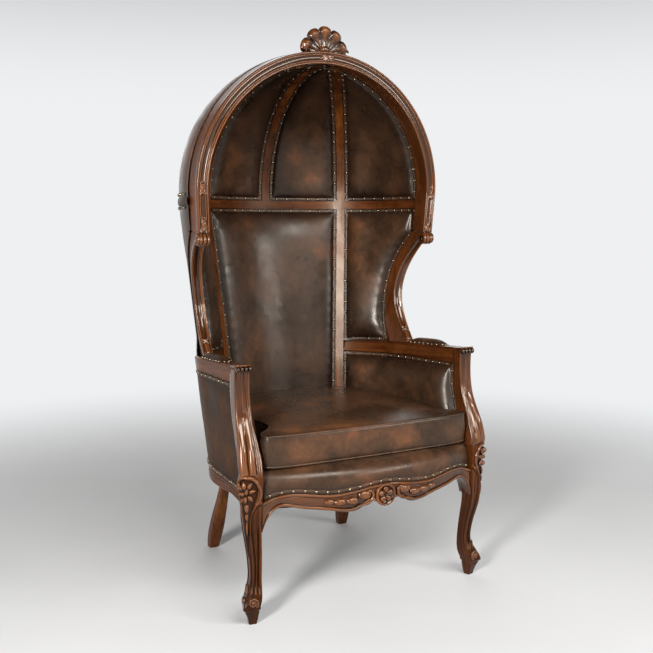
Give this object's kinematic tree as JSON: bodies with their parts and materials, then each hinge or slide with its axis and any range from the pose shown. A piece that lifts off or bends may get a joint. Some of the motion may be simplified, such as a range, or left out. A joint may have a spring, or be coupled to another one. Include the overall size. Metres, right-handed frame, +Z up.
{
  "type": "hall porter chair",
  "caption": "Tall hooded porter's armchair in dark leather and carved mahogany, with a shell finial, domed hood, wings, padded arms, cabriole front legs and a loose seat cushion.",
  "frame": {"origin": "on the floor, below the centre of the part's bounding box", "axes": "+Z up; the chair faces -Y; +X is to the right of someone who stands in front and looks at it"},
  "size_m": [0.876, 0.868, 1.7],
  "materials": {
    "show_wood": "polished dark mahogany",
    "leather": "aged glossy leather",
    "shell_wood": "bare plywood and beech",
    "webbing": "woven jute",
    "foam": "horsehair and cotton stuffing",
    "dust_cloth": "black lining cloth",
    "nail_bronze": "aged bronze nail heads",
    "screw_steel": "plain steel"
  },
  "bodies": {
    "frame": {"arch_left": "show_wood", "arch_right": "show_wood", "finial_shell": "show_wood", "wing_stile_left": "show_wood", "wing_stile_right": "show_wood", "volute_left": "show_wood", "volute_right": "show_wood", "hood_band": "show_wood", "hood_rib_left": "show_wood", "hood_rib_right": "show_wood", "hood_rib_center": "show_wood", "back_stile_left": "show_wood", "back_stile_right": "show_wood", "arm_rail_left": "show_wood", "arm_rail_right": "show_wood", "arm_post_left": "show_wood", "arm_post_right": "show_wood", "front_leg_left": "show_wood", "front_leg_right": "show_wood", "back_leg_left": "show_wood", "back_leg_right": "show_wood", "front_seat_rail": "show_wood", "side_rail_left": "show_wood", "side_rail_right": "show_wood", "back_seat_rail": "show_wood", "hood_side_panel_left": "leather", "hood_side_panel_right": "leather", "hood_back_panel_left": "leather", "hood_back_panel_right": "leather", "back_panel": "leather", "wing_panel_left": "leather", "wing_panel_right": "leather", "inside_arm_left": "leather", "inside_arm_right": "leather", "outer_band": "leather", "outer_hood_cover": "leather", "outer_back_cover": "leather", "outer_arm_left": "leather", "outer_arm_right": "leather", "arm_pad_left": "leather", "arm_pad_right": "leather", "front_border": "leather", "seat_deck": "leather", "hood_shell": "shell_wood", "back_shell": "shell_wood", "arm_shell_left": "shell_wood", "arm_shell_right": "shell_wood", "corner_blocks": "shell_wood", "seat_webbing": "webbing", "seat_foam": "foam", "dust_cover": "dust_cloth", "corner_block_screws": "screw_steel"},
    "cushion": {"seat_cushion": "leather"}
  },
  "joints": [
    {"name": "cushion_lift_off", "type": "slide", "parent": "frame", "child": "cushion", "axis": [0, 0, 1], "range_m": [0, 0.2]}
  ]
}
